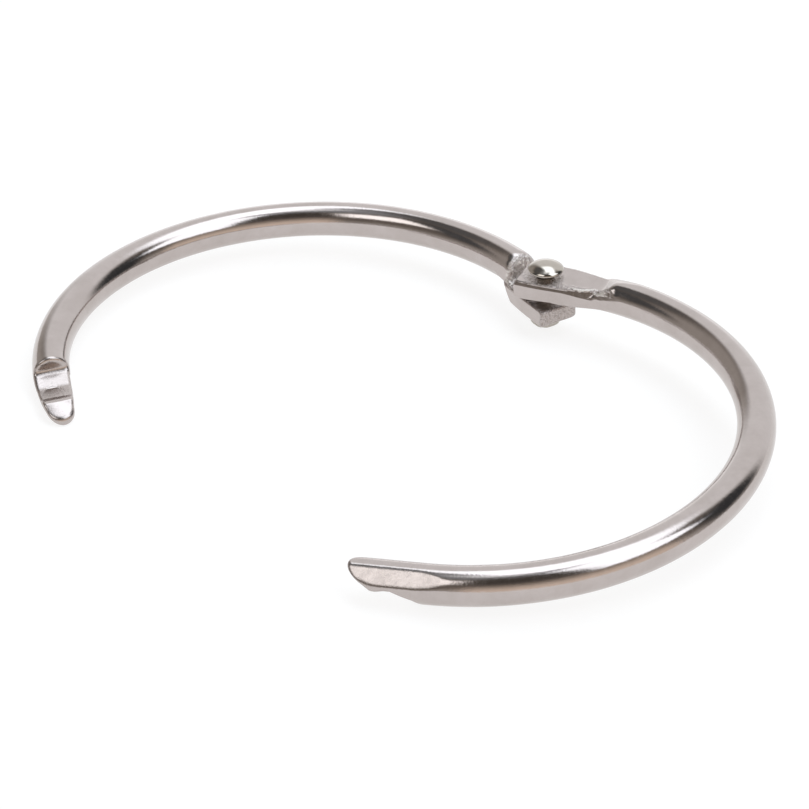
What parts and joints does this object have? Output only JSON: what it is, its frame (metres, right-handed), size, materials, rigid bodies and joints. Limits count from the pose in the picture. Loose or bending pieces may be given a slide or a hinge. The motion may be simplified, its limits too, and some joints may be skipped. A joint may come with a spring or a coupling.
{
  "type": "hinged loose-leaf binder ring",
  "caption": "Hinged loose-leaf ring of round nickel-plated wire, standing open: its half rings turn on a headed rivet and snap together at their notched tips to bind punched sheets.",
  "frame": {"origin": "centre of the lower half ring's circle, halfway up its wire", "axes": "+Z along the ring's axis and the rivet's, out of the face with the rivet's upper head; +X from the ring's centre to the rivet; +Y towards the middle of the lower half ring"},
  "size_m": [0.068, 0.0789, 0.0079],
  "materials": {
    "plated_wire": "bright nickel plate on drawn steel wire, with fine drawing marks",
    "plated_rivet": "bright nickel plate on a steel rivet"
  },
  "bodies": {
    "lower": {"lower_half_ring": "plated_wire", "hinge_rivet": "plated_rivet"},
    "upper": {"upper_half_ring": "plated_wire"}
  },
  "joints": [
    {"name": "rivet_hinge", "type": "hinge", "parent": "lower", "child": "upper", "pos_m": [0.02721, 0, 0], "axis": [0, 0, 1], "range_deg": [-50.35, 80]}
  ]
}
